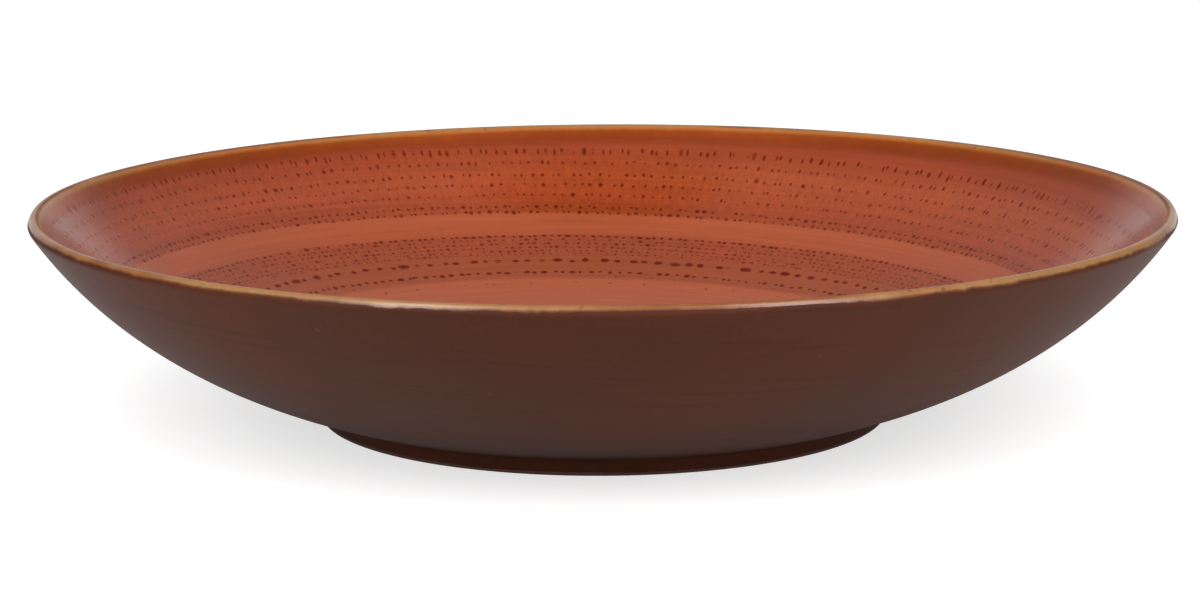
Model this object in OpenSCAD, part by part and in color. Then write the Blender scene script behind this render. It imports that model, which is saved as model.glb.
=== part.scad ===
// Deep coupe plate: one pressed clay body with its foot ring, under four coats of glaze.
// Millimetres, +Z up. The origin is the centre of the foot ring's resting plane.
//
// Every solid is turned from one outline of the clay. The outline runs from the middle of the well,
// over the lip, down the back, round the foot ring and in to the middle of the underside.
// A coat of glaze is a stretch of that outline, thickened along its outward normal.

/* [Plate] */
// Outside diameter over the glazed lip
rim_d = 280; // [240:1:320]
// Height from the table to the top of the glazed lip
plate_h = 53; // [44:0.5:62]

/* [Wall] */
// Thickness of the clay at the lip
lip_t = 2.6; // [2:0.1:3.6]
// Slope of the wall at the lip, in degrees from the horizontal
lip_slope = 56; // [48:1:62]
// Slope of the back where it leaves the foot ring, in degrees
back_slope = 18; // [12:1:24]
// Thickness of the clay in the floor of the well
floor_t = 5.2; // [4:0.1:7]
// Diameter of the flat floor of the well
floor_d = 100; // [80:1:120]

/* [Foot ring] */
// Diameter of the ring at the table
foot_d = 140; // [120:1:160]
// Height of the ring's outer face
foot_h = 4.5; // [3.5:0.1:5.5]
// Width of the ring at the table, before its edges are rounded
foot_w = 5; // [4:0.1:7]
// How far the outer face leans out over its height
foot_lean = 1.3; // [0.8:0.1:2]
// Slope of the ring's inner face, in degrees
foot_inner_slope = 60; // [50:1:75]
// Depth of the recess inside the ring
recess_h = 3.3; // [2.6:0.1:4]
// Radius of the hollow where the back meets the ring
root_r = 1.8; // [1.2:0.1:2.6]
// Radius on the ring's two bottom edges
heel_r = 0.9; // [0.6:0.1:1.2]
// Radius in the corner of the recess
recess_r = 2; // [1.2:0.1:2.6]

/* [Glaze] */
// Thickness of the inside glaze on the floor, where it pools
well_glaze_t = 0.5; // [0.3:0.05:0.7]
// Thickness of the glaze over the lip, where it runs thin
edge_glaze_t = 0.3; // [0.2:0.05:0.5]
// Thickness of the matt glaze on the back and the underside
back_glaze_t = 0.3; // [0.2:0.05:0.5]
// Width of the rim band down the inside, from the lip
band_inside_w = 4.5; // [2:0.1:6]
// Where the rim band stops on the outside of the lip, in degrees above its outermost line
band_stop = 22; // [0:1:45]

/* [Hidden] */
$fn = 180;

clay_colour = "#8a6450";
inside_colour = "#b25a42";
band_colour = "#a8733a";
back_colour = "#5a3a30";

// How far each end of a curve pulls along its own slope, as shares of the curve's chord
back_lip_pull_share = 0.505;
back_foot_pull_share = 0.09;
well_floor_pull_share = 0.34;
well_lip_pull_share = 0.295;

// Steps along each kind of stretch of the outline
curve_steps = 26;
band_steps = 4;
lip_steps = 16;
corner_steps = 6;

// The rim band covers the top of the lip, and the outside glaze its outermost line.
clay_rim_r = rim_d / 2 - back_glaze_t;
clay_top_z = plate_h - edge_glaze_t;
lip_r = lip_t / 2;
lip_centre = [clay_rim_r - lip_r, clay_top_z - lip_r];
floor_z = recess_h + floor_t;

// A heading is the direction of travel along the outline, in degrees; the clay lies on its right.
back_heading = back_slope - 180;
lip_end_heading = lip_slope - 180;
band_stop_heading = band_stop - 90;
foot_face_heading = atan2(-foot_h, -foot_lean);
land_heading = -180;
foot_inner_heading = -180 - foot_inner_slope;

// How much each rounded corner of the foot ring's section turns, and how far back it starts
function start_back(r, turn) = r * tan(abs(turn) / 2);
root_back = start_back(root_r, foot_face_heading - back_heading);
heel_back = start_back(heel_r, land_heading - foot_face_heading);
toe_back = start_back(heel_r, foot_inner_heading - land_heading);
recess_back = start_back(recess_r, land_heading - foot_inner_heading);

function along(heading) = [cos(heading), sin(heading)];
function outward(heading) = [-sin(heading), cos(heading)];
function mix(a, b, share) = a + (b - a) * share;
function point_on(curve, t) =
    pow(1 - t, 3) * curve[0] + 3 * pow(1 - t, 2) * t * curve[1]
    + 3 * (1 - t) * t * t * curve[2] + pow(t, 3) * curve[3];
function slope_on(curve, t) =
    pow(1 - t, 2) * (curve[1] - curve[0]) + 2 * (1 - t) * t * (curve[2] - curve[1])
    + t * t * (curve[3] - curve[2]);

// A station is [point, heading, glaze thickness], and a stretch is a list of stations.
function straight(from, to, heading, glaze_t) =
    [for (p = [from, to]) [p, heading, glaze_t]];

// A round bend from one heading to another. Its centre is on the clay's side where it turns right,
// and on the air's side where it turns left.
function bend(centre, r, heading_in, heading_out, steps, glaze_t) =
    let (side = heading_out < heading_in ? r : -r)
    [for (i = [0:steps])
        let (h = mix(heading_in, heading_out, i / steps))
        [centre + side * outward(h), h, glaze_t]];

// Part of a cubic curve, with the glaze thinning evenly from one end to the other
function sweep(curve, t_from, t_to, steps, glaze_from, glaze_to) =
    [for (i = [0:steps])
        let (t = mix(t_from, t_to, i / steps), s = slope_on(curve, t))
        [point_on(curve, t), atan2(s[1], s[0]), mix(glaze_from, glaze_to, i / steps)]];

// Stretches end to end, each without its first station, which ends the stretch before it
function joined(stretches) =
    [for (i = [0:len(stretches) - 1], j = [(i == 0 ? 0 : 1):len(stretches[i]) - 1]) stretches[i][j]];
function start_of(stretch) = stretch[0][0];
function end_of(stretch) = stretch[len(stretch) - 1][0];

// The wall's inner and outer curves end square to the lip's centre, so all three meet smoothly.
lip_start = lip_centre + lip_r * outward(lip_slope);
lip_end = lip_centre + lip_r * outward(lip_end_heading);
floor_edge = [floor_d / 2, floor_z];
well_chord = norm(lip_start - floor_edge);
well_curve = [
    floor_edge,
    floor_edge + well_floor_pull_share * well_chord * along(0),
    lip_start - well_lip_pull_share * well_chord * along(lip_slope),
    lip_start
];
root_start = [foot_d / 2 + foot_lean, foot_h] - root_back * along(back_heading);
back_chord = norm(lip_end - root_start);
back_curve = [
    lip_end,
    lip_end + back_lip_pull_share * back_chord * along(lip_end_heading),
    root_start - back_foot_pull_share * back_chord * along(back_heading),
    root_start
];

// The centres of the foot ring's rounded corners. The heel and the toe both touch the table.
foot_r = foot_d / 2;
root_centre = root_start + root_r * outward(back_heading);
heel_centre = [foot_r - heel_back, heel_r];
toe_centre = [foot_r - foot_w + toe_back, heel_r];
recess_centre = [
    foot_r - foot_w - recess_h / tan(foot_inner_slope) - recess_back,
    recess_h - recess_r
];

// Where the rim band starts on the well's curve: a cubic leaves its end at three times its pull.
band_t = 1 - band_inside_w / (3 * well_lip_pull_share * well_chord);

// The outline, stretch by stretch, in the order in which it runs
floor_line = straight([0, floor_z], floor_edge, 0, well_glaze_t);
well_wall = sweep(well_curve, 0, band_t, curve_steps, well_glaze_t, edge_glaze_t);
band_inside = sweep(well_curve, band_t, 1, band_steps, edge_glaze_t, edge_glaze_t);
lip_top = bend(lip_centre, lip_r, lip_slope, band_stop_heading, lip_steps, edge_glaze_t);
lip_under = bend(lip_centre, lip_r, band_stop_heading, lip_end_heading, corner_steps, back_glaze_t);
back_wall = sweep(back_curve, 0, 1, curve_steps, back_glaze_t, back_glaze_t);
root = bend(root_centre, root_r, back_heading, foot_face_heading, corner_steps, back_glaze_t);
heel = bend(heel_centre, heel_r, foot_face_heading, land_heading, corner_steps, 0);
toe = bend(toe_centre, heel_r, land_heading, foot_inner_heading, corner_steps, 0);
land = straight(end_of(heel), start_of(toe), land_heading, 0);
recess_bend = bend(recess_centre, recess_r, foot_inner_heading, land_heading,
    corner_steps, back_glaze_t);
foot_outer_face = straight(end_of(root), start_of(heel), foot_face_heading, back_glaze_t);
foot_inner_face = straight(end_of(toe), start_of(recess_bend), foot_inner_heading, back_glaze_t);
recess_line = straight(end_of(recess_bend), [0, recess_h], land_heading, back_glaze_t);

// The runs: the ring is wiped clean from its heel to its toe, so the land and its edges stay bare.
inside_run = joined([floor_line, well_wall]);
band_run = joined([band_inside, lip_top]);
outside_run = joined([lip_under, back_wall, root, foot_outer_face]);
bare_run = joined([heel, land, toe]);
underside_run = joined([foot_inner_face, recess_bend, recess_line]);
clay_run = joined([inside_run, band_run, outside_run, bare_run, underside_run]);

// The face of the clay along a run, and the face of the glaze over it
function clay_face(run) = [for (s = run) s[0]];
function glaze_face(run) = [for (s = run) s[0] + s[2] * outward(s[1])];
function reversed(list) = [for (i = [len(list) - 1:-1:0]) list[i]];

module coat(run) {
    rotate_extrude()
        polygon(concat(clay_face(run), reversed(glaze_face(run))));
}

// The pressed body: the floor, the wall, the lip and the foot ring are one piece of clay.
module clay_body() {
    color(clay_colour)
        rotate_extrude()
            polygon(clay_face(clay_run));
}

// The glossy glaze of the well, thickest on the floor
module inside_glaze() {
    color(inside_colour)
        coat(inside_run);
}

// The thin band over the lip, from inside the well to the outside of the lip's rounding
module rim_band() {
    color(band_colour)
        coat(band_run);
}

// The matt glaze from the rim band down the back and the foot ring's outer face
module outside_glaze() {
    color(back_colour)
        coat(outside_run);
}

// The matt glaze inside the foot ring, cut off from the rest by the ring's wiped face
module underside_glaze() {
    color(back_colour)
        coat(underside_run);
}

clay_body();
inside_glaze();
rim_band();
outside_glaze();
underside_glaze();
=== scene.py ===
import bpy
import numpy as np
from mathutils import Matrix, Vector


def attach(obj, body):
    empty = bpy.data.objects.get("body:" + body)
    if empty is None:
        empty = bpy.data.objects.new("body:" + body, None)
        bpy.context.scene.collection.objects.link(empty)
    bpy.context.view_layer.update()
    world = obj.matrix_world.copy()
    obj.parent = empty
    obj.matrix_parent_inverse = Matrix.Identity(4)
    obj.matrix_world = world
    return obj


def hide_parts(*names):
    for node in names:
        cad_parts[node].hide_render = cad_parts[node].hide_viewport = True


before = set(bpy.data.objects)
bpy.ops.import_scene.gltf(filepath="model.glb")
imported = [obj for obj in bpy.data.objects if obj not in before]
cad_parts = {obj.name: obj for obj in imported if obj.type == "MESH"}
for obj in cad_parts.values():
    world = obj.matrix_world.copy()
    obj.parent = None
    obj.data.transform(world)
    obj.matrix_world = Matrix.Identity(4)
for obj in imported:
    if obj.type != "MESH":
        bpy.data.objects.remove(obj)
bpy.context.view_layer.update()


# Clay body
# The real piece is one pressed disc of dark stoneware clay: floor, wall, lip and foot ring. Its
# coats hide all of it but the foot ring's resting face and that face's two rounded edges, which
# are wiped clean so that the plate doesn't stick to the kiln shelf.
RIM_R = 140.0
PLATE_H = 53.0
GLAZE_T = 0.3
LIP_R = 1.3
LIP_SLOPE = 56.0
BACK_SLOPE = 18.0
FLOOR_R = 50.0
FLOOR_T = 5.2
FOOT_R = 70.0
FOOT_H = 4.5
FOOT_W = 5.0
FOOT_LEAN = 1.3
FOOT_INNER_SLOPE = 60.0
RECESS_H = 3.3
ROOT_R = 1.8
HEEL_R = 0.9
RECESS_R = 2.0
BAND_INSIDE_W = 4.5
BAND_STOP = 22.0

# How far each end of a curve pulls along its own slope, as shares of the curve's chord
BACK_LIP_PULL = 0.505
BACK_FOOT_PULL = 0.09
WELL_FLOOR_PULL = 0.34
WELL_LIP_PULL = 0.295

# Steps along each stretch of the outline
FLOOR_STEPS = 52
WELL_STEPS = 100
BAND_STEPS = 16
LIP_TOP_STEPS = 32
LIP_UNDER_STEPS = 14
BACK_STEPS = 90
ROOT_STEPS = 10
CORNER_STEPS = 8
FOOT_FACE_STEPS = 20
LAND_STEPS = 4
RECESS_STEPS = 60
HIDDEN_STEP = 4


def along(heading):
    """Unit step along a heading, in degrees from outwards (+r) towards up (+z)."""
    angle = np.radians(heading)
    return np.stack([np.cos(angle), np.sin(angle)], -1)


def outward(heading):
    """Unit normal of the outline: its heading turned a quarter turn to the left, off the clay."""
    angle = np.radians(heading)
    return np.stack([-np.sin(angle), np.cos(angle)], -1)


def straight(start, end, heading, steps):
    """Evenly spaced stations [r, z, heading] on the line from start to end."""
    return np.column_stack([np.linspace(start, end, steps + 1), np.full(steps + 1, heading)])


def bend(centre, radius, heading_in, heading_out, steps):
    """Stations of a round bend: the centre plus the radius along the normal of a heading that
    turns evenly. The centre is on the clay's side where the heading falls, else on the air's."""
    heading = np.linspace(heading_in, heading_out, steps + 1)
    side = radius if heading_out < heading_in else -radius
    return np.column_stack([centre + side * outward(heading), heading])


def sweep(curve, t_from, t_to, steps):
    """Stations of a cubic: its four control points weighed by t and 1 - t in the third power's
    terms, with the heading of the same curve's derivative."""
    t = np.linspace(t_from, t_to, steps + 1)[:, None]
    a, b, c, d = curve
    point = (1 - t) ** 3 * a + 3 * (1 - t) ** 2 * t * b + 3 * (1 - t) * t**2 * c + t**3 * d
    slope = (1 - t) ** 2 * (b - a) + 2 * (1 - t) * t * (c - b) + t**2 * (d - c)
    return np.column_stack([point, np.degrees(np.arctan2(slope[:, 1], slope[:, 0]))])


def joined(*stretches):
    """Stretches end to end, each without its first station, which ends the one before it."""
    return np.vstack([stretches[0], *[stretch[1:] for stretch in stretches[1:]]])


def thinned(run):
    """Every fourth station, and the last: enough for a face that a coat hides."""
    return run[np.r_[0 : len(run) - 1 : HIDDEN_STEP, len(run) - 1]]


lip_centre = np.array([RIM_R - GLAZE_T - LIP_R, PLATE_H - GLAZE_T - LIP_R])
lip_start = lip_centre + LIP_R * outward(LIP_SLOPE)
lip_end = lip_centre + LIP_R * outward(LIP_SLOPE - 180)
floor_edge = np.array([FLOOR_R, RECESS_H + FLOOR_T])
well_chord = np.linalg.norm(lip_start - floor_edge)
well_curve = [
    floor_edge,
    floor_edge + WELL_FLOOR_PULL * well_chord * along(0),
    lip_start - WELL_LIP_PULL * well_chord * along(LIP_SLOPE),
    lip_start,
]
band_t = 1 - BAND_INSIDE_W / (3 * WELL_LIP_PULL * well_chord)

# A rounded corner starts before its sharp corner by its radius times the tangent of half its turn.
band_heading = BAND_STOP - 90
back_heading = BACK_SLOPE - 180
face_heading = np.degrees(np.arctan2(-FOOT_H, -FOOT_LEAN))
land_heading = -180
inner_heading = land_heading - FOOT_INNER_SLOPE
root_back = ROOT_R * np.tan(np.radians(abs(face_heading - back_heading) / 2))
heel_back = HEEL_R * np.tan(np.radians(abs(land_heading - face_heading) / 2))
toe_back = HEEL_R * np.tan(np.radians(FOOT_INNER_SLOPE / 2))
recess_back = RECESS_R * np.tan(np.radians(FOOT_INNER_SLOPE / 2))
root_start = np.array([FOOT_R + FOOT_LEAN, FOOT_H]) - root_back * along(back_heading)
back_chord = np.linalg.norm(lip_end - root_start)
back_curve = [
    lip_end,
    lip_end + BACK_LIP_PULL * back_chord * along(LIP_SLOPE - 180),
    root_start - BACK_FOOT_PULL * back_chord * along(back_heading),
    root_start,
]
recess_corner_r = FOOT_R - FOOT_W - RECESS_H / np.tan(np.radians(FOOT_INNER_SLOPE))

root_centre = root_start + ROOT_R * outward(back_heading)
heel_centre = np.array([FOOT_R - heel_back, HEEL_R])
toe_centre = np.array([FOOT_R - FOOT_W + toe_back, HEEL_R])
recess_centre = np.array([recess_corner_r - recess_back, RECESS_H - RECESS_R])

floor_line = straight([0, RECESS_H + FLOOR_T], floor_edge, 0, FLOOR_STEPS)
well_wall = sweep(well_curve, 0, band_t, WELL_STEPS)
band_inside = sweep(well_curve, band_t, 1, BAND_STEPS)
lip_top = bend(lip_centre, LIP_R, LIP_SLOPE, band_heading, LIP_TOP_STEPS)
lip_under = bend(lip_centre, LIP_R, band_heading, LIP_SLOPE - 180, LIP_UNDER_STEPS)
back_wall = sweep(back_curve, 0, 1, BACK_STEPS)
root = bend(root_centre, ROOT_R, back_heading, face_heading, ROOT_STEPS)
heel = bend(heel_centre, HEEL_R, face_heading, land_heading, CORNER_STEPS)
toe = bend(toe_centre, HEEL_R, land_heading, inner_heading, CORNER_STEPS)
recess_bend = bend(recess_centre, RECESS_R, inner_heading, land_heading, CORNER_STEPS)
foot_face = straight(root[-1, :2], heel[0, :2], face_heading, FOOT_FACE_STEPS)
land = straight(heel[-1, :2], toe[0, :2], land_heading, LAND_STEPS)
foot_inner_face = straight(toe[-1, :2], recess_bend[0, :2], inner_heading, FOOT_FACE_STEPS)
recess_line = straight(recess_bend[-1, :2], [0, RECESS_H], land_heading, RECESS_STEPS)

inside_run = joined(floor_line, well_wall)
band_run = joined(band_inside, lip_top)
outside_run = joined(lip_under, back_wall, root, foot_face)
bare_run = joined(heel, land, toe)
underside_run = joined(foot_inner_face, recess_bend, recess_line)

PER_TURN = 360
MM_PER_METRE = 1000
SHARP_EDGE = np.radians(38)
ROUND_ANGLES = np.arange(PER_TURN) * 2 * np.pi / PER_TURN


def turned(name, outline, from_lip=None, closed=False):
    """Surface of revolution: point (i, j) is outline point i carried round the axis by j steps.
    An end on the axis stays one vertex, and a closed outline joins its last point to its first.
    The outline runs with the material on its right, which turns every face outwards."""
    if outline.ndim == 2:
        outline = outline[:, None]
    radius, height = np.broadcast_to(outline, (len(outline), PER_TURN, 2)).transpose(2, 0, 1)
    x, y = radius * np.cos(ROUND_ANGLES), radius * np.sin(ROUND_ANGLES)
    points = np.stack([x, y, height], -1).reshape(-1, 3) / MM_PER_METRE

    index = np.arange(len(points)).reshape(radius.shape)
    on_axis = radius[:, 0] == 0
    index[on_axis] = index[on_axis, :1]
    if closed:
        index = np.vstack([index, index[:1]])
    beside = np.roll(index, -1, axis=1)
    quads = np.stack([index[:-1], index[1:], beside[1:], beside[:-1]], -1).reshape(-1, 4)
    used, quads = np.unique(quads, return_inverse=True)
    quads = quads.reshape(-1, 4)
    starts = quads[:, 0] == quads[:, 3]
    ends = quads[:, 1] == quads[:, 2]
    faces = [
        *quads[~starts & ~ends].tolist(),
        *quads[starts][:, [0, 1, 2]].tolist(),
        *quads[ends][:, [0, 1, 3]].tolist(),
    ]

    mesh = bpy.data.meshes.new(name)
    mesh.from_pydata(points[used], [], faces)
    mesh.shade_smooth()
    mesh.set_sharp_from_angle(angle=SHARP_EDGE)
    if from_lip is not None:
        attribute = mesh.attributes.new("from_lip", "FLOAT", "POINT")
        attribute.data.foreach_set("value", np.repeat(from_lip, PER_TURN)[used])
    piece = bpy.data.objects.new(name, mesh)
    bpy.context.scene.collection.objects.link(piece)
    return piece


class Wire:
    """A value on its way through a node tree. Arithmetic on it adds Math nodes to that tree."""

    def __init__(self, tree, socket):
        self.tree, self.socket = tree, socket

    def maths(self, operation, *others):
        """The outcome of a Math node's operation on this value and the others."""
        terms = dict(enumerate([self, *others]))
        return Wire(self.tree, add(self.tree, "Math", terms, operation=operation).outputs[0])

    def __add__(self, other):
        return self.maths("ADD", other)

    def __sub__(self, other):
        return self.maths("SUBTRACT", other)

    def __rsub__(self, other):
        return (self * -1) + other

    def __mul__(self, other):
        return self.maths("MULTIPLY", other)

    def __truediv__(self, other):
        return self.maths("DIVIDE", other)


def add(tree, kind, given=None, **settings):
    """A new node with its settings made, and each given input linked to a wire or typed in."""
    made = tree.nodes.new("ShaderNode" + kind)
    for setting, value in settings.items():
        setattr(made, setting, value)
    for label, value in (given or {}).items():
        socket = made.inputs[label]
        if isinstance(value, Wire):
            tree.links.new(value.socket, socket)
        elif socket.type == "RGBA":
            socket.default_value = (*value, 1)
        else:
            socket.default_value = value
    return made


def noise(vector, scale, detail):
    """Soft random value about a half, with features of about 1 / scale."""
    given = {"Vector": vector, "Scale": scale, "Detail": detail}
    return Wire(vector.tree, add(vector.tree, "TexNoise", given).outputs["Fac"])


def between(chance, low, high):
    """A value from 0 to 1, spread evenly from low to high."""
    return chance * (high - low) + low


def fade(value, start, end, low=0.0, high=1.0):
    """Eases from low to high as the value goes from start to end, and stays there beyond them."""
    given = {"Value": value, "From Min": start, "From Max": end, "To Min": low, "To Max": high}
    made = add(value.tree, "MapRange", given, interpolation_type="SMOOTHSTEP")
    return Wire(value.tree, made.outputs[0])


def over(share, under, colour):
    """The colour laid over the one under it, by a share from 0 to 1. A Mix node's sockets share
    their names, so they are given by number: its colours are sockets 6 and 7, and output 2."""
    given = {0: share, 6: under, 7: colour}
    made = add(share.tree, "Mix", given, data_type="RGBA")
    return Wire(share.tree, made.outputs[2])


def scaled(colour, factor):
    """The colour, lighter or darker by a factor that changes over the surface."""
    made = add(colour.tree, "VectorMath", {0: colour, 3: factor}, operation="SCALE")
    return Wire(colour.tree, made.outputs[0])


def parts_of(vector):
    """The three parts of a vector or colour."""
    return [Wire(vector.tree, s) for s in add(vector.tree, "SeparateXYZ", {0: vector}).outputs]


def effect(name, inputs, outputs):
    """An empty node group with named sockets: its tree, its inputs as wires and its output node."""
    tree = bpy.data.node_groups.new(name, "ShaderNodeTree")
    for label, kind in inputs.items():
        tree.interface.new_socket(label, in_out="INPUT", socket_type="NodeSocket" + kind)
    for label, kind in outputs.items():
        tree.interface.new_socket(label, in_out="OUTPUT", socket_type="NodeSocket" + kind)
    entry = tree.nodes.new("NodeGroupInput")
    wires = [Wire(tree, entry.outputs[label]) for label in inputs]
    return tree, wires, tree.nodes.new("NodeGroupOutput")


def hand_out(output, **wires):
    """Links wires to the sockets of a group's output node, by name."""
    for label, wire in wires.items():
        wire.tree.links.new(wire.socket, output.inputs[label.replace("_", " ")])


def place(tree, group, given):
    """Puts a node group in a tree with its inputs given, and returns its outputs by name."""
    made = tree.nodes.new("ShaderNodeGroup")
    made.node_tree = group
    for label, value in given.items():
        if isinstance(value, Wire):
            tree.links.new(value.socket, made.inputs[label])
        else:
            made.inputs[label].default_value = value
    return {socket.name: Wire(tree, socket) for socket in made.outputs}


def new_material(name):
    """A material with its shader still bare: its tree, its shader and the object's coordinates."""
    material = bpy.data.materials.new(name)
    material.use_nodes = True
    tree = material.node_tree
    tree.nodes.clear()
    shader = tree.nodes.new("ShaderNodeBsdfPrincipled")
    output = tree.nodes.new("ShaderNodeOutputMaterial")
    tree.links.new(shader.outputs[0], output.inputs[0])
    position = Wire(tree, tree.nodes.new("ShaderNodeTexCoord").outputs["Object"])
    return material, tree, shader, position


def finish_shader(tree, shader, colour, roughness, height, relief):
    """Feeds the shader its colour, its roughness and a bump whose height 1 is relief metres."""
    tree.links.new(colour.socket, shader.inputs["Base Color"])
    tree.links.new(roughness.socket, shader.inputs["Roughness"])
    bump = add(tree, "Bump", {"Height": height, "Distance": relief})
    tree.links.new(bump.outputs[0], shader.inputs["Normal"])


# Iron specks burn through clay and glaze alike: round cells, of which only a few hold a speck.
# A speck's radius is a share of its cell's, and its edge fades out beyond it.
SPECK_R = (0.10, 0.26)
SPECK_EDGE = (1.2, 0.6)

specks, (position, density, share), output = effect(
    "iron_specks",
    {"Position": "Vector", "Density": "Float", "Share": "Float"},
    {"Mask": "Float"},
)
cells = add(specks, "TexVoronoi", {"Vector": position, "Scale": density})
chance, size, _ = parts_of(Wire(specks, cells.outputs["Color"]))
from_middle = Wire(specks, cells.outputs["Distance"]) / between(size, *SPECK_R)
spot = fade(from_middle, *SPECK_EDGE)
hand_out(output, Mask=spot * chance.maths("LESS_THAN", share))


def specked(position, density, share):
    """One on a speck, else nought. The share is that of the cells that hold a speck."""
    given = {"Position": position, "Density": density, "Share": share}
    return place(position.tree, specks, given)["Mask"]


# A noise is given by its scale, in features per metre, and its detail, and specks by their density
# and their share. A shade is how much a noise makes a colour lighter or darker.
CLAY_COLOUR = (0.105, 0.046, 0.032)
CLAY_DARK = (0.055, 0.026, 0.019)
CLAY_PALE = (0.17, 0.09, 0.06)
CLAY_GRAIN = (900, 3)
CLAY_CLOUD = (45, 3)
CLAY_SPECKS = (700, 0.12)
CLAY_GRIT = (1100, 0.10)
GRAIN_SHADE = (0.55, 1.05)
CLAY_CLOUD_SHADE = 0.4
GRIT_COVER = 0.7
SPECK_COVER = 0.8
SPECK_DEPTH = 0.6
CLAY_ROUGHNESS = (0.72, 0.87)
CLAY_RELIEF = 0.00012

clay, tree, shader, position = new_material("bare_clay")
grain = noise(position, *CLAY_GRAIN)
cloud = noise(position, *CLAY_CLOUD)
speck = specked(position, *CLAY_SPECKS)
grit = specked(position, *CLAY_GRIT)
clay_base = Wire(tree, add(tree, "RGB").outputs[0])
clay_base.socket.default_value = (*CLAY_COLOUR, 1)
colour = scaled(clay_base, between(grain, *GRAIN_SHADE) + cloud * CLAY_CLOUD_SHADE)
colour = over(grit * GRIT_COVER, colour, CLAY_PALE)
colour = over(speck * SPECK_COVER, colour, CLAY_DARK)
roughness = between(grain, *CLAY_ROUGHNESS)
finish_shader(tree, shader, colour, roughness, grain - speck * SPECK_DEPTH, CLAY_RELIEF)

clay_outline = joined(
    thinned(inside_run), thinned(band_run), thinned(outside_run), bare_run, thinned(underside_run)
)[:, :2]
clay_outline[[0, -1], 0] = 0
clay_body = turned("plate_clay", clay_outline)
clay_body.data.materials.append(clay)
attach(clay_body, "root")
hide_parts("clay_body")


# Inside glaze
# A glossy coral coat over the floor and the wall, half a millimetre thick where it pools. Rows of
# dark iron dots are set in it while the plate turns a little off its centre, and the coat goes
# brown round the closest rows.
WELL_GLAZE_T = 0.5
RIDGE_HEIGHT = 0.02
RIDGE_LENGTHS = (3.7, 6.1, 9.3)
RIDGE_FADE = 12.0
WHEEL_OFFSET = 4.1


def glaze_thickness():
    """Even over the floor, then thinning evenly along the wall to the rim band."""
    on_wall = np.linspace(WELL_GLAZE_T, GLAZE_T, len(well_wall))
    return np.concatenate([np.full(len(floor_line) - 1, WELL_GLAZE_T), on_wall])


def glaze_face(run, thickness):
    """The coat's outer face: each station of the clay, moved along its normal."""
    return run[:, :2] + np.asarray(thickness)[..., None] * outward(run[:, 2])


def turning_ridges(radius):
    """Ridges of the turning wheel: a sum of sines of the distance from the wheel's own centre,
    which die away towards the middle of the well and towards the rim band."""
    x = radius[:, None] * np.cos(ROUND_ANGLES) + WHEEL_OFFSET
    wheel_r = np.hypot(x, radius[:, None] * np.sin(ROUND_ANGLES))
    wave = sum(np.sin(2 * np.pi * wheel_r / length + length) for length in RIDGE_LENGTHS)
    from_band = np.clip((inside_run[-1, 0] - radius) / RIDGE_FADE, 0, 1)
    from_middle = np.clip(radius / RIDGE_FADE, 0, 1)
    return RIDGE_HEIGHT * wave / len(RIDGE_LENGTHS) * (from_band * from_middle)[:, None]


def length_along(points):
    """Distance along a line of points: the running sum of the steps between them."""
    return np.concatenate([[0], np.cumsum(np.linalg.norm(np.diff(points, axis=0), axis=1))])


def thinned_back(values):
    """The values of a run's stations on the way back along its hidden face."""
    return thinned(values)[::-1]


# How far each station of the three coats that meet over the lip lies from the lip's top
shell = joined(inside_run, band_run, outside_run)
shell_t = np.full(len(shell), GLAZE_T)
shell_t[: len(inside_run)] = glaze_thickness()
shell_face = glaze_face(shell, shell_t)
arc = length_along(shell_face)
from_lip = arc[np.argmax(shell_face[:, 1])] - arc
band_start = len(inside_run) - 1
band_end = band_start + len(band_run) - 1
inside_lip = from_lip[: band_start + 1]
band_lip = from_lip[band_start : band_end + 1]
outside_lip = from_lip[band_end:]

ridges = turning_ridges(inside_run[:, 0])[..., None] * outward(inside_run[:, 2])[:, None]
inside_face = glaze_face(inside_run, glaze_thickness())[:, None] + ridges
inside_back = thinned_back(inside_run)[:, None, :2]
inside_outline = np.concatenate([inside_face, np.repeat(inside_back, PER_TURN, axis=1)])
inside_outline[[0, -1], :, 0] = 0


def vector_of(x, y, z):
    """A vector from three wires or numbers, of which the first is a wire."""
    return Wire(x.tree, add(x.tree, "CombineXYZ", {0: x, 1: y, 2: z}).outputs[0])


def radius_of(x, y):
    """Distance from the axis: the root of the sum of the squares."""
    return (x * x + y * y).maths("SQRT")


# Where a point lies as seen from the turning wheel's centre. A streak's vector changes fast across
# the plate and slowly round it, so noise read with it draws rings.
WHEEL_NOISE = (13, 1)
WHEEL_WAVER = 1.6
STREAK_ROUND = 2.3

wheel, (position,), output = effect(
    "wheel_place",
    {"Position": "Vector"},
    {"Turn": "Float", "Wheel radius": "Float", "Streak": "Vector"},
)
x, y, _ = parts_of(position)
x, y = x * MM_PER_METRE + WHEEL_OFFSET, y * MM_PER_METRE
waver = (noise(position, *WHEEL_NOISE) - 0.5) * WHEEL_WAVER
wheel_r = radius_of(x, y) + waver
turn = y.maths("ARCTAN2", x) / (2 * np.pi) + 0.5
hand_out(
    output,
    Turn=turn,
    Wheel_radius=wheel_r,
    Streak=vector_of(x / wheel_r * STREAK_ROUND, y / wheel_r * STREAK_ROUND, wheel_r),
)

# One family of rows of dots. Chance shifts each row and each dot a little, stretches the dots and
# leaves some out. A dot is round in its own cell, which is as long as its share of the turn.
ROW_SHIFT = 0.3
ROW_STRENGTH = (0.65, 1.0)
DOT_SIZE = (0.7, 1.2)
DOT_STRETCH = (0.7, 1.3)
DOT_STRENGTH = (0.66, 1.26)
DOT_LIFT = 0.9
DOT_BLOT = 1.1
DOT_ROOM = 2.3
DOT_EDGE = (1.5, 0.45)
SHARE_EDGE = 0.12

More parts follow.
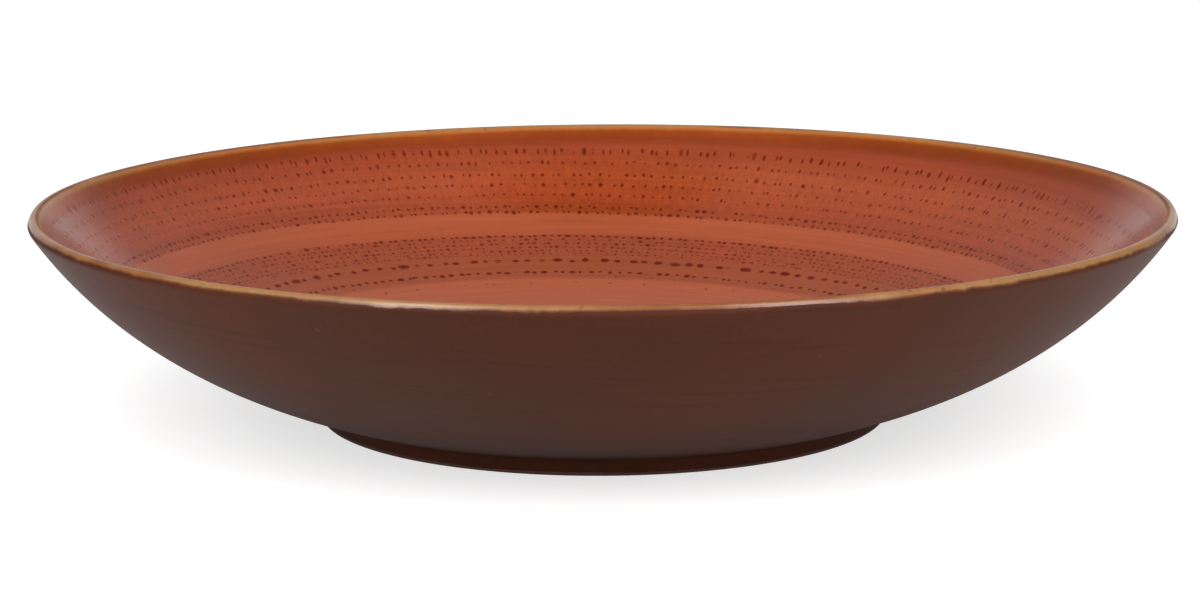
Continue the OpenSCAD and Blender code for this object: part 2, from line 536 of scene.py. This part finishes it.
rows, wires, output = effect(
    "dot_rows",
    {"Turn": "Float", "Wheel radius": "Float", "Blot": "Float", "Wear": "Float",
     "First row": "Float", "Row pitch": "Float", "Rows": "Float", "Dots per turn": "Float",
     "Dot length": "Float", "Dot height": "Float", "Share": "Float", "Darkness": "Float",
     "Seed": "Float"},
    {"Mask": "Float"},
)
turn, wheel_r, blot, wear, first, pitch, count, dots, length, height, share, darkness, seed = wires
row = ((wheel_r - first) / pitch + 0.5).maths("FLOOR").maths("MAXIMUM", 0.0)
row = row.maths("MINIMUM", count - 1)


def chances(x, y, z):
    """Three random values for a cell, each from 0 to 1."""
    cell = vector_of(x, y, z)
    return parts_of(Wire(x.tree, add(x.tree, "TexWhiteNoise", {"Vector": cell}).outputs["Color"]))


row_shift, row_strength, _ = chances(row, seed, 0.0)
across = wheel_r - first - row * pitch + (row_shift - 0.5) * pitch * ROW_SHIFT
cell = turn * dots
number = cell.maths("FLOOR")
shift, lift, size = chances(number, row, seed)
drawing, stretch, strength = chances(number, row, seed + 0.5)
cell_w = wheel_r * (2 * np.pi) / dots
size = between(size * size, *DOT_SIZE)
half = length * size * between(stretch, *DOT_STRETCH)
room = (1 - half * DOT_ROOM / cell_w).maths("MAXIMUM", 0.0)
sideways = (cell - number - 0.5 + (shift - 0.5) * room) * cell_w / half
upwards = (across + (lift - 0.5) * height * DOT_LIFT) / (height * size)
distance = radius_of(sideways, upwards) + (blot - 0.5) * DOT_BLOT
kept = share * wear
drawn = fade(drawing, kept + SHARE_EDGE, kept - SHARE_EDGE)
dark = between(row_strength, *ROW_STRENGTH) * darkness * between(strength, *DOT_STRENGTH)
hand_out(output, Mask=fade(distance, *DOT_EDGE) * drawn * dark)

# Each line is a family of rows, from the middle outwards: its innermost row and the rows' pitch in
# millimetres, how many rows, dots per turn, half a dot's length and height, the share of dots that
# are drawn, and how dark they are.
ROW_FAMILIES = (
    (10.4, 2.10, 2, 30, 0.46, 0.42, 0.80, 0.75),
    (22.6, 1.60, 2, 62, 0.52, 0.42, 0.82, 0.80),
    (35.4, 1.60, 3, 96, 0.50, 0.42, 0.74, 0.75),
    (47.6, 1.50, 1, 74, 1.00, 0.62, 0.88, 0.90),
    (57.5, 1.45, 4, 170, 0.48, 0.36, 0.66, 0.62),
    (69.2, 1.70, 2, 182, 0.56, 0.46, 0.88, 0.85),
    (80.6, 1.50, 1, 60, 0.62, 0.34, 0.10, 0.80),
    (86.6, 3.70, 2, 150, 0.36, 0.36, 0.22, 0.50),
    (92.3, 1.50, 1, 220, 0.72, 0.54, 0.94, 0.88),
    (97.4, 1.50, 1, 150, 1.05, 0.66, 0.92, 0.95),
    (100.2, 1.42, 5, 310, 0.46, 0.34, 0.80, 0.60),
    (107.3, 1.50, 1, 300, 0.62, 0.42, 0.96, 0.90),
    (115.7, 1.75, 2, 310, 0.52, 0.44, 0.97, 0.66),
    (121.4, 2.80, 4, 272, 0.43, 0.44, 0.93, 0.56),
    (132.4, 2.20, 1, 300, 0.42, 0.66, 0.98, 0.80),
)
FAMILY_SCALES = (RIM_R, 4.0, 8.0, 400.0, 2.0, 1.0, 1.0, 1.0)
SEED_SCALE = 64.0


def colour_ramp(value, stops, interpolation="LINEAR"):
    """Colour by a value from 0 to 1, from (value, colour, alpha) stops."""
    made = add(value.tree, "ValToRGB", {"Fac": value})
    made.color_ramp.interpolation = interpolation
    elements = made.color_ramp.elements
    elements.remove(elements[1])
    elements[0].position, elements[0].color = stops[0][0], (*stops[0][1], stops[0][2])
    for at, colour, alpha in stops[1:]:
        element = elements.new(at)
        element.color = (*colour, alpha)
    return Wire(value.tree, made.outputs["Color"]), Wire(value.tree, made.outputs["Alpha"])


def family_facts(wheel_r):
    """The numbers of the row family at a radius, and a seed for its chances. Each step ramp holds
    three of them as shares of their scales, and steps halfway between one family's last row and
    the next one's first."""
    facts = np.array(ROW_FAMILIES)
    last_row = facts[:, 0] + facts[:, 1] * (facts[:, 2] - 1)
    steps = np.concatenate([[0], (last_row[:-1] + facts[1:, 0]) / 2]) / RIM_R
    order = np.arange(len(facts)) / len(facts)
    shares = np.column_stack([facts / FAMILY_SCALES, order])
    found = []
    for three in np.split(shares, 3, axis=1):
        stops = [(at, tuple(tone), 1) for at, tone in zip(steps.tolist(), three.tolist())]
        found += parts_of(colour_ramp(wheel_r / RIM_R, stops, "CONSTANT")[0])
    return [wire * scale for wire, scale in zip(found, (*FAMILY_SCALES, SEED_SCALE))]


# The coat's tones, and the zones that they make: each pair is a distance from the wheel's centre
# in millimetres and the tone that the coat has there.
CORAL = (0.372, 0.068, 0.018)
ROSE = (0.400, 0.080, 0.024)
RED = (0.280, 0.038, 0.006)
UMBER = (0.305, 0.052, 0.008)
BROWN = (0.300, 0.047, 0.009)
FLAME = (0.335, 0.052, 0.013)
DOT = (0.255, 0.009, 0.0003)
ZONES = (
    (8, BROWN), (14, CORAL), (21, ROSE), (22, BROWN), (25, BROWN), (27, CORAL),
    (34, ROSE), (35, BROWN), (39.5, BROWN), (41, ROSE), (45, UMBER), (50, UMBER), (53, ROSE),
    (56.5, BROWN), (62.5, BROWN), (64, CORAL), (68, ROSE), (69, BROWN), (71.5, BROWN),
    (73, ROSE), (88.6, ROSE), (90, UMBER), (99.3, UMBER), (100, BROWN), (107.1, BROWN),
    (108.4, CORAL), (115, ROSE), (115.6, BROWN), (118, BROWN), (119.6, FLAME), (130, CORAL),
)
ZONE_WAVER = 2.2

# The coat goes red towards the lip, along the plate's own round. The outer rows lie halfway between
# the wheel's round and the plate's.
RED_ZONE = (125.0, 133.0)
RED_SHARE = 0.8
TRUER_ROWS = (116.0, 132.0)
TRUER_SHARE = 0.5

# Between the rows the wall is stippled and brushed outwards, except on one smooth band.
STIPPLE = (1050, 0.34)
STIPPLE_START = (98.5, 100.0)
STIPPLE_END = (133.0, 130.0)
SMOOTH_BAND_R = 111.6
SMOOTH_BAND_EDGE = (3.6, 4.6)
STIPPLE_COVER = 0.26
BRUSH_NOISE = (1.0, 3)
BRUSH_ROUND = 45
BRUSH_ACROSS = 0.45
BRUSH_STRENGTH = (0.10, 0.52)

# The coat's noises. Those for the dots' wear and for the streaks are read round the wheel, in
# features per millimetre across it.
BLOT_NOISE = (1500, 2)
CLOUD_NOISE = (22, 3)
PEEL_NOISE = (420, 2)
WEAR_NOISE = (0.9, 2)
STREAK_NOISE = (1.0, 4)
FINE_STREAK_NOISE = (2.6, 2)
WEAR = (0.45, 1.55)
STREAK_SHADE = (0.83, 1.17)
CLOUD_SHADE = 0.25
FINE_STREAK_SHADE = 0.18

# How much of a dot is burnt to bare iron, what makes the coat rougher, and how high each mark on it
# stands or how deep it lies
IRON_GAIN = 1.5
IRON_MOST = 0.75
COAT_ROUGHNESS = 0.12
DOT_ROUGHER = 0.28
CLOUD_ROUGHER = 0.06
STREAK_ROUGHER = 0.04
PEEL_HEIGHT = 0.25
STREAK_HEIGHT = 0.35
DOT_DEPTH = 0.3

coral_glaze, (position,), output = effect(
    "coral_glaze",
    {"Position": "Vector"},
    {"Colour": "Color", "Roughness": "Float", "Iron": "Float", "Height": "Float"},
)
spot = place(coral_glaze, wheel, {"Position": position})
wheel_r = spot["Wheel radius"]
blot = noise(position, *BLOT_NOISE)
wear = between(noise(spot["Streak"], *WEAR_NOISE), *WEAR)
streak = noise(spot["Streak"], *STREAK_NOISE)
fine_streak = noise(spot["Streak"], *FINE_STREAK_NOISE)
cloud = noise(position, *CLOUD_NOISE)
zone_r = wheel_r + (streak - 0.5) * ZONE_WAVER
colour, _ = colour_ramp(zone_r / RIM_R, [(at / RIM_R, tone, 1) for at, tone in ZONES])
plate_x, plate_y, _ = parts_of(position)
plate_r = radius_of(plate_x, plate_y) * MM_PER_METRE
colour = over(fade(plate_r, *RED_ZONE) * RED_SHARE, colour, RED)
shading = between(streak, *STREAK_SHADE) + (cloud - 0.5) * CLOUD_SHADE
shading = shading + (fine_streak - 0.5) * FINE_STREAK_SHADE
colour = scaled(colour, shading)
row_r = wheel_r + (plate_r - wheel_r) * fade(plate_r, *TRUER_ROWS) * TRUER_SHARE
first, pitch, count, dots, length, height, share, darkness, seed = family_facts(row_r)
dot_mask = place(
    coral_glaze,
    rows,
    {"Turn": spot["Turn"], "Wheel radius": row_r, "Blot": blot, "Wear": wear,
     "First row": first, "Row pitch": pitch, "Rows": count, "Dots per turn": dots,
     "Dot length": length, "Dot height": height, "Share": share, "Darkness": darkness,
     "Seed": seed},
)["Mask"]
off_smooth_band = fade((wheel_r - SMOOTH_BAND_R).maths("ABSOLUTE"), *SMOOTH_BAND_EDGE)
worked = fade(wheel_r, *STIPPLE_START) * fade(wheel_r, *STIPPLE_END) * off_smooth_band
round_x, round_y, across = parts_of(spot["Streak"])
brush = vector_of(round_x * BRUSH_ROUND, round_y * BRUSH_ROUND, across * BRUSH_ACROSS)
brushed = (noise(brush, *BRUSH_NOISE) - 0.5) * between(worked, *BRUSH_STRENGTH)
stipple = specked(position, *STIPPLE)
colour = scaled(colour, brushed + 1)
colour = over(stipple * worked * STIPPLE_COVER, colour, DOT)
colour = over(dot_mask, colour, DOT)
peel = noise(position, *PEEL_NOISE)
roughness = dot_mask * DOT_ROUGHER + COAT_ROUGHNESS + cloud * CLOUD_ROUGHER
hand_out(
    output,
    Colour=colour,
    Roughness=roughness + streak * STREAK_ROUGHER,
    Iron=(dot_mask * IRON_GAIN).maths("MINIMUM", IRON_MOST),
    Height=peel * PEEL_HEIGHT + streak * STREAK_HEIGHT - dot_mask * DOT_DEPTH,
)

# Over the lip the coats break. Each zone is a distance from the lip's top in millimetres, inwards
# above zero, with the tone there and how much of it covers the coat below.
GOLD = (0.336, 0.158, 0.053)
HONEY = (0.395, 0.182, 0.060)
OCHRE = (0.430, 0.118, 0.010)
RUST = (0.150, 0.046, 0.012)
AMBER = (0.400, 0.069, 0.003)
EMBER = (0.400, 0.064, 0.006)
LIP_FROM, LIP_TO = -6.0, 12.0
LIP_ZONES = (
    (-2.4, RUST, 0.0), (-2.0, RUST, 0.75), (-1.5, GOLD, 1.0), (-0.3, GOLD, 1.0),
    (0.9, HONEY, 1.0), (2.0, OCHRE, 1.0), (2.9, AMBER, 1.0), (4.4, EMBER, 0.85),
    (6.9, EMBER, 0.0),
)

# The zones' edges drift in three noises, each a scale, a detail and a swing in millimetres. They
# hold nearly still on the lip's top.
DRIFTS = ((60, 3, 1.6), (420, 2, 0.9), (7, 2, 1.4))
STEADY_EDGE = (0.4, 2.5)
STEADY_SHARE = 0.25

# In patches the coat is thin, so it is tawny and its outer edge creeps inwards. Dark flecks burn
# through it, it has a metal's lustre inside the lip, and the outermost dots show through its end.
TAWNY = (0.250, 0.073, 0.018)
TAWNY_COVER = 0.95
TAWNY_EDGE = (1.6, 0.6)
PATCH_NOISE = (19, 3)
PATCH_SHIFT = (0, 0, 9.65)
PATCH_EDGE = (0.45, 0.58)
CREEP = 0.5
CREEP_EDGE = (0.0, -1.2)
MOTTLE_NOISE = (240, 2)
MOTTLE_SHADE = (0.8, 1.2)
FLECK = (0.12, 0.040, 0.012)
FLECK_NOISE = (650, 3)
FLECK_EDGE = (0.64, 0.72)
FLECK_COVER = 0.6
NEAR_LIP_EDGE = (3.0, 1.6)
LUSTRE = 0.6
LUSTRE_START = (1.4, 2.8)
LUSTRE_END = (8.0, 4.5)
DOTS_SHOW = (5.0, 6.6)

lip_break, (position, lip_wire, under, dots), output = effect(
    "breaking_edge",
    {"Position": "Vector", "From lip": "Float", "Glaze": "Color", "Dots": "Float"},
    {"Colour": "Color", "Mask": "Float", "Iron": "Float"},
)
broad, fine, long_swing = [
    (noise(position, scale, detail) - 0.5) * swing for scale, detail, swing in DRIFTS
]
patches = Wire(lip_break, add(lip_break, "VectorMath", {0: position, 1: PATCH_SHIFT}).outputs[0])
thin = fade(noise(patches, *PATCH_NOISE), *PATCH_EDGE)
drift = broad + fine + long_swing - thin * fade(lip_wire, *CREEP_EDGE) * CREEP
off_lip = lip_wire.maths("ABSOLUTE")
drifted = lip_wire + drift * fade(off_lip, *STEADY_EDGE, STEADY_SHARE, 1.0)
lip_width = LIP_TO - LIP_FROM
stops = [((at - LIP_FROM) / lip_width, colour, alpha) for at, colour, alpha in LIP_ZONES]
tone, cover = colour_ramp((drifted - LIP_FROM) / lip_width, stops)
cover = cover * (1 - dots * fade(lip_wire, *DOTS_SHOW))
near_lip = fade(off_lip, *NEAR_LIP_EDGE)
tone = over(thin * near_lip * fade(lip_wire, *TAWNY_EDGE) * TAWNY_COVER, tone, TAWNY)
tone = scaled(tone, between(noise(position, *MOTTLE_NOISE), *MOTTLE_SHADE))
fleck = fade(noise(position, *FLECK_NOISE), *FLECK_EDGE) * near_lip
tone = over(fleck * FLECK_COVER, tone, FLECK)
lustre = fade(lip_wire, *LUSTRE_START) * fade(lip_wire, *LUSTRE_END) * LUSTRE
hand_out(output, Colour=over(cover, under, tone), Mask=cover, Iron=lustre)


def lip_distance(tree):
    """Millimetres from the top of the lip, kept on the mesh: inwards is above zero."""
    made = add(tree, "Attribute", attribute_name="from_lip", attribute_type="GEOMETRY")
    return Wire(tree, made.outputs["Fac"])


GLOSSY_SPECULAR = 0.5
LIP_HEIGHT = (0.2, 1.0)
INSIDE_RELIEF = 0.00005

glossy_coral, tree, shader, position = new_material("glossy_coral_glaze")
coat = place(tree, coral_glaze, {"Position": position})
edge = place(
    tree,
    lip_break,
    {"Position": position, "From lip": lip_distance(tree), "Glaze": coat["Colour"],
     "Dots": coat["Iron"]},
)
shader.inputs["Specular IOR Level"].default_value = GLOSSY_SPECULAR
left_bare = 1 - edge["Mask"]
iron = (coat["Iron"] * left_bare).maths("MAXIMUM", edge["Iron"])
tree.links.new(iron.socket, shader.inputs["Metallic"])
height = coat["Height"] * between(left_bare, *LIP_HEIGHT)
finish_shader(tree, shader, edge["Colour"], coat["Roughness"], height, INSIDE_RELIEF)

inside_glaze = turned(
    "plate_inside_glaze", inside_outline, np.concatenate([inside_lip, thinned_back(inside_lip)])
)
inside_glaze.data.materials.append(glossy_coral)
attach(inside_glaze, "root")
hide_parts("inside_glaze")


# Outside glaze
# A satin dark brown coat from the outside of the lip down the back and the foot ring's outer face.
# It is sprayed on, so it is a little cloudy, and it ends in a soft bead just above the heel.
BEAD_W = 0.55
LINE_WAVER = 0.16
WAVER_TURNS = (2, 5, 9, 14, 23)
SLIDE_REACH = 2.0
HEEL_LINE_SEED = 11
SHOULDER_TURN = 27.0
SHOULDER_REACH = 60.0
SHOULDER_R = 1.38
SHOULDER_FLATNESS = 0.8
BLEND = 24.0


def lip_thickness(run):
    """The coat of a run that may cross the lip. On the lip's outer shoulder the coat runs thin and
    leaves a nearly flat face: there its distance from the lip's centre is the shoulder's, divided
    by a power of the cosine of the turn from the shoulder. It blends softly with the full coat."""
    turn = run[:, 2] + 90 - SHOULDER_TURN
    turn = np.radians(np.clip(turn, -SHOULDER_REACH, SHOULDER_REACH))
    flat = SHOULDER_R / np.cos(turn) ** SHOULDER_FLATNESS
    full = LIP_R + GLAZE_T
    return (full**-BLEND + flat**-BLEND) ** (-1 / BLEND) - LIP_R


def waver_round(size, seed):
    """A line's ups and downs round the plate: a sum of sines with whole numbers of turns and
    random phases, each as high as the size divided by the root of its turns."""
    phases = np.random.default_rng(seed).uniform(0, 2 * np.pi, len(WAVER_TURNS))
    turns = np.array(WAVER_TURNS)[:, None]
    return size * (np.sin(turns * ROUND_ANGLES + phases[:, None]) / np.sqrt(turns)).sum(0)


def beaded_coat(run, wiped_at_end, seed):
    """The outer face and the clay's face of a coat that stops on a wiped line, at the run's end or
    at its start. Within a bead's width of the line the coat is as thick as a quarter of an ellipse,
    and near it the stations slide along the clay, so that the line wavers round the plate."""
    length = length_along(run[:, :2])
    to_line = length[-1] - length if wiped_at_end else length
    bead = np.sqrt(1 - (1 - np.clip(to_line / BEAD_W, 0, 1)) ** 2)
    near_line = np.clip(1 - to_line / SLIDE_REACH, 0, 1)[:, None]
    slide = (waver_round(LINE_WAVER, seed) + 2 * LINE_WAVER) * near_line
    shift = (-slide if wiped_at_end else slide)[..., None] * along(run[:, 2])[:, None]
    face = glaze_face(run, lip_thickness(run) * bead)[:, None] + shift
    return face, run[:, None, :2] + shift


BROWN_COAT = (0.067, 0.0195, 0.0092)
BROWN_DEEP = (0.051, 0.0150, 0.0078)
BROWN_WARM = (0.080, 0.0212, 0.0092)
BROWN_SPECK = (0.13, 0.062, 0.042)
BROWN_CLOUD = (16, 4)
BROWN_MIST = (700, 2)
BROWN_STREAK = (0.8, 3)
BROWN_SPECKS = (330, 0.02)
WARM_EDGE = (0.40, 0.66)
DEEP_EDGE = (0.52, 0.70)
DEEP_COVER = 0.5
MIST_SHADE = (0.85, 1.15)
BROWN_SPECK_COVER = 0.3
BROWN_ROUGHNESS = (0.44, 0.56)
MIST_ROUGHER = 0.08
CLOUD_HEIGHT = 0.5
MIST_HEIGHT = 0.5
BROWN_STREAK_HEIGHT = 0.3

brown_glaze, (position,), output = effect(
    "brown_glaze",
    {"Position": "Vector"},
    {"Colour": "Color", "Roughness": "Float", "Height": "Float"},
)
spot = place(brown_glaze, wheel, {"Position": position})
cloud = noise(position, *BROWN_CLOUD)
mist = noise(position, *BROWN_MIST)
streak = noise(spot["Streak"], *BROWN_STREAK)
colour = over(fade(cloud, *WARM_EDGE), BROWN_COAT, BROWN_WARM)
colour = over(fade(streak, *DEEP_EDGE) * DEEP_COVER, colour, BROWN_DEEP)
colour = scaled(colour, between(mist, *MIST_SHADE))
speck = specked(position, *BROWN_SPECKS)
colour = over(speck * BROWN_SPECK_COVER, colour, BROWN_SPECK)
hand_out(
    output,
    Colour=colour,
    Roughness=between(cloud, *BROWN_ROUGHNESS) + mist * MIST_ROUGHER,
    Height=mist * MIST_HEIGHT + cloud * CLOUD_HEIGHT + streak * BROWN_STREAK_HEIGHT,
)

SATIN_SPECULAR = 0.085
GLOSSY_COAT_ROUGHNESS = 0.24
GLOSSY_SMOOTHER = 0.2
OUTSIDE_RELIEF = 0.00004

satin_brown, tree, shader, position = new_material("satin_brown_glaze")
coat = place(tree, brown_glaze, {"Position": position})
edge = place(
    tree, lip_break, {"Position": position, "From lip": lip_distance(tree), "Glaze": coat["Colour"]}
)
shader.inputs["Specular IOR Level"].default_value = SATIN_SPECULAR
shader.inputs["Coat Roughness"].default_value = GLOSSY_COAT_ROUGHNESS
tree.links.new(edge["Mask"].socket, shader.inputs["Coat Weight"])
roughness = coat["Roughness"] - edge["Mask"] * GLOSSY_SMOOTHER
finish_shader(tree, shader, edge["Colour"], roughness, coat["Height"], OUTSIDE_RELIEF)

face, back = beaded_coat(outside_run, True, HEEL_LINE_SEED)
outside_glaze = turned(
    "plate_outside_glaze",
    np.concatenate([face, thinned_back(back)]),
    np.concatenate([outside_lip, thinned_back(outside_lip)]),
    closed=True,
)
outside_glaze.data.materials.append(satin_brown)
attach(outside_glaze, "root")
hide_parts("outside_glaze")


# Rim band
# Where the coats meet over the lip they run thin in the fire and break to ochre and gold, with
# brown flecks. The band goes from the top of the well's wall to the outside of the lip's rounding.
BROWN_UNDER = (0.5, -0.5)
LIP_ROUGHNESS = (0.13, 0.93)
LIP_RELIEF = 0.00004

breaking_lip, tree, shader, position = new_material("breaking_lip_glaze")
lip_wire = lip_distance(tree)
inner = place(tree, coral_glaze, {"Position": position})
outer = place(tree, brown_glaze, {"Position": position})
outer_share = fade(lip_wire, *BROWN_UNDER)
under = over(outer_share, inner["Colour"], outer["Colour"])
edge = place(tree, lip_break, {"Position": position, "From lip": lip_wire, "Glaze": under})
shader.inputs["Specular IOR Level"].default_value = GLOSSY_SPECULAR
tree.links.new(edge["Iron"].socket, shader.inputs["Metallic"])
roughness = between(inner["Roughness"], *LIP_ROUGHNESS)
finish_shader(tree, shader, edge["Colour"], roughness, inner["Height"], LIP_RELIEF)

rim_band = turned(
    "plate_rim_band",
    np.vstack([glaze_face(band_run, lip_thickness(band_run)), thinned_back(band_run)[:, :2]]),
    np.concatenate([band_lip, thinned_back(band_lip)]),
    closed=True,
)
rim_band.data.materials.append(breaking_lip)
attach(rim_band, "root")
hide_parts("rim_band")


# Underside glaze
# The same brown coat inside the foot ring, cut off from the rest by the ring's wiped face. It is
# rougher, because this side lay low in the kiln, and the wheel's marks show faintly in it.
TOE_LINE_SEED = 23
MATT_ROUGHER = 0.08
UNDERSIDE_RELIEF = 0.00006

matt_brown, tree, shader, position = new_material("matt_brown_glaze")
coat = place(tree, brown_glaze, {"Position": position})
shader.inputs["Specular IOR Level"].default_value = SATIN_SPECULAR
roughness = coat["Roughness"] + MATT_ROUGHER
finish_shader(tree, shader, coat["Colour"], roughness, coat["Height"], UNDERSIDE_RELIEF)

face, back = beaded_coat(underside_run, False, TOE_LINE_SEED)
underside_outline = np.concatenate([thinned_back(back), face])
underside_outline[[0, -1], :, 0] = 0
underside_glaze = turned("plate_underside_glaze", underside_outline)
underside_glaze.data.materials.append(matt_brown)
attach(underside_glaze, "root")
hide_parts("underside_glaze")


# Studio
# A white sweep in a light tent that is brightest in front, low down. It has a dark opening above
# the plate and is dark behind it, with a paler strip on either side of the dark. Two tall softboxes
# stand in front. The camera stands low, at the photograph's angle.
FLOOR_HALF = 4.0
FLOOR_DROP = 0.00005
FLOOR_WHITE = (0.72, 0.72, 0.72)
FLOOR_GLOW = 0.64
# Under the plate the glow that a gloss sees fades to a share of itself: a painted shadow of the
# plate.
PAINTED_SHADOW_EDGE = (0.06, 0.17)
PAINTED_SHADOW_GLOW = 0.2


def seen_rays(tree):
    """One where the camera or a glass looks, else nought; and the same for a gloss."""
    path = tree.nodes.new("ShaderNodeLightPath")
    camera_ray, gloss_ray, glass_ray = [
        Wire(tree, path.outputs[f"Is {kind} Ray"]) for kind in ("Camera", "Glossy", "Transmission")
    ]
    return camera_ray.maths("MAXIMUM", glass_ray), gloss_ray


def glow_when_seen(tree, shade, glow):
    """Adds a faint white glow to a shader, for what the camera, a gloss or a glass sees. Under the
    plate a gloss sees less of it: a painted shadow of the plate, where the sweep lies in shade."""
    x, y, _ = parts_of(Wire(tree, tree.nodes.new("ShaderNodeTexCoord").outputs["Object"]))
    # Painted shadow: the glow that a gloss sees is cut under the plate, by the distance from the
    # axis.
    outside_painted_shadow = fade(radius_of(x, y), *PAINTED_SHADOW_EDGE, PAINTED_SHADOW_GLOW, 1.0)
    looked_at, in_gloss = seen_rays(tree)
    seen = looked_at.maths("MAXIMUM", in_gloss * outside_painted_shadow)
    glowing = add(tree, "Emission", {"Color": (1, 1, 1), "Strength": seen * glow})
    both = tree.nodes.new("ShaderNodeAddShader")
    tree.links.new(shade.outputs[0], both.inputs[0])
    tree.links.new(glowing.outputs[0], both.inputs[1])
    return both


floor_mesh = bpy.data.meshes.new("sweep")
corners = [(-1, -1), (1, -1), (1, 1), (-1, 1)]
floor_mesh.from_pydata(
    [(x * FLOOR_HALF, y * FLOOR_HALF, -FLOOR_DROP) for x, y in corners], [], [(0, 1, 2, 3)]
)
floor = bpy.data.objects.new("sweep", floor_mesh)
bpy.context.scene.collection.objects.link(floor)
paper = bpy.data.materials.new("white_paper")
paper.use_nodes = True
paper.node_tree.nodes.clear()
diffuse = add(paper.node_tree, "BsdfDiffuse", {"Color": FLOOR_WHITE})
lit = glow_when_seen(paper.node_tree, diffuse, FLOOR_GLOW)
output = paper.node_tree.nodes.new("ShaderNodeOutputMaterial")
paper.node_tree.links.new(lit.outputs[0], output.inputs[0])
floor_mesh.materials.append(paper)

# The tent's light, and where each part of it starts and ends, as parts of the direction looked in:
# x to the right, y to the back and z up.
TENT_LIGHT = 0.38
FRONT_LIGHT = 1.0
FRONT_TOP = (0.75, 0.62)
FRONT_EDGE = (-0.25, -0.60)
BEHIND_LIGHT = 0.10
BEHIND_TOP = (0.50, 0.30)
BEHIND_EDGE = (0.0, 0.3)
STRIP_LIGHT = 0.62
STRIP_TOP = (0.46, 0.20)
STRIP_EDGE = (0.2, 0.5)
STRIP_INNER_SIDE = (0.05, 0.15)
STRIP_OUTER_SIDE = (0.72, 0.44)
OPENING_SHARE = 0.10
OPENING_HALF_X = 0.23
OPENING_HALF_Y = 0.21
OPENING_EDGE = (0.75, 1.3)
OPENING_LOWEST = (0.3, 0.0)

world = bpy.data.worlds.new("light_tent")
world.use_nodes = True
tree = world.node_tree
tree.nodes.clear()
direction = Wire(tree, tree.nodes.new("ShaderNodeTexCoord").outputs["Generated"])
x, y, z = parts_of(direction)
in_front = fade(z, *FRONT_TOP) * fade(y, *FRONT_EDGE)
behind = fade(z, *BEHIND_TOP) * fade(y, *BEHIND_EDGE)
sideways = x.maths("ABSOLUTE")
strip = fade(sideways, *STRIP_INNER_SIDE) * fade(sideways, *STRIP_OUTER_SIDE)
strip = strip * fade(z, *STRIP_TOP) * fade(y, *STRIP_EDGE)
light = in_front * (FRONT_LIGHT - TENT_LIGHT) + behind * (BEHIND_LIGHT - TENT_LIGHT)
light = light + strip * STRIP_LIGHT + TENT_LIGHT
from_opening = radius_of(x / OPENING_HALF_X, y / OPENING_HALF_Y) + fade(z, *OPENING_LOWEST, 0, 2)
light = light * fade(from_opening, *OPENING_EDGE, OPENING_SHARE, 1.0)
tent = add(tree, "Background", {"Color": (1, 1, 1), "Strength": light})
white = add(tree, "Background", {"Color": (1, 1, 1), "Strength": 1.0})
mix = add(tree, "MixShader", {0: seen_rays(tree)[0]})
tree.links.new(tent.outputs[0], mix.inputs[1])
tree.links.new(white.outputs[0], mix.inputs[2])
output = tree.nodes.new("ShaderNodeOutputWorld")
tree.links.new(mix.outputs[0], output.inputs[0])
bpy.context.scene.world = world

SOFTBOX_W = 0.27
SOFTBOX_H = 0.86
SOFTBOX_DISTANCE = 1.2
SOFTBOX_TURN = np.radians(40)
SOFTBOX_RISE = np.radians(36)
SOFTBOX_POWER = 6.4
for side, turn in (("left", -SOFTBOX_TURN), ("right", SOFTBOX_TURN)):
    lamp = bpy.data.lights.new("softbox_" + side, "AREA")
    lamp.shape = "RECTANGLE"
    lamp.size = SOFTBOX_W
    lamp.size_y = SOFTBOX_H
    lamp.energy = SOFTBOX_POWER
    softbox = bpy.data.objects.new("softbox_" + side, lamp)
    bpy.context.scene.collection.objects.link(softbox)
    outwards = np.cos(SOFTBOX_RISE)
    towards = Vector((np.sin(turn) * outwards, -np.cos(turn) * outwards, np.sin(SOFTBOX_RISE)))
    softbox.location = towards * SOFTBOX_DISTANCE
    softbox.rotation_euler = towards.to_track_quat("Z", "Y").to_euler()

# The camera's axes are its right, its up and the way back from the plate, turned by its roll.
CAMERA_TARGET = np.array([-0.76, 0.0, 27.8])
CAMERA_DISTANCE = 816.0
CAMERA_RISE = np.radians(10.76)
CAMERA_ROLL = np.radians(-0.32)
CAMERA_LENS = 98.68
SENSOR_WIDTH = 36.0
back = np.array([0, -np.cos(CAMERA_RISE), np.sin(CAMERA_RISE)])
right = np.array([1.0, 0, 0])
up = np.array([0, np.sin(CAMERA_RISE), np.cos(CAMERA_RISE)])
rolled_right = np.cos(CAMERA_ROLL) * right + np.sin(CAMERA_ROLL) * up
rolled_up = np.cos(CAMERA_ROLL) * up - np.sin(CAMERA_ROLL) * right
camera_spot = (CAMERA_TARGET + CAMERA_DISTANCE * back) / MM_PER_METRE
stand = np.eye(4)
stand[:3] = np.column_stack([rolled_right, rolled_up, back, camera_spot])
lens = bpy.data.cameras.new("camera")
lens.lens = CAMERA_LENS
lens.sensor_width = SENSOR_WIDTH
camera = bpy.data.objects.new("camera", lens)
camera.matrix_world = Matrix(stand.tolist())
bpy.context.scene.collection.objects.link(camera)
bpy.context.scene.camera = camera
bpy.context.scene.view_settings.view_transform = "Standard"
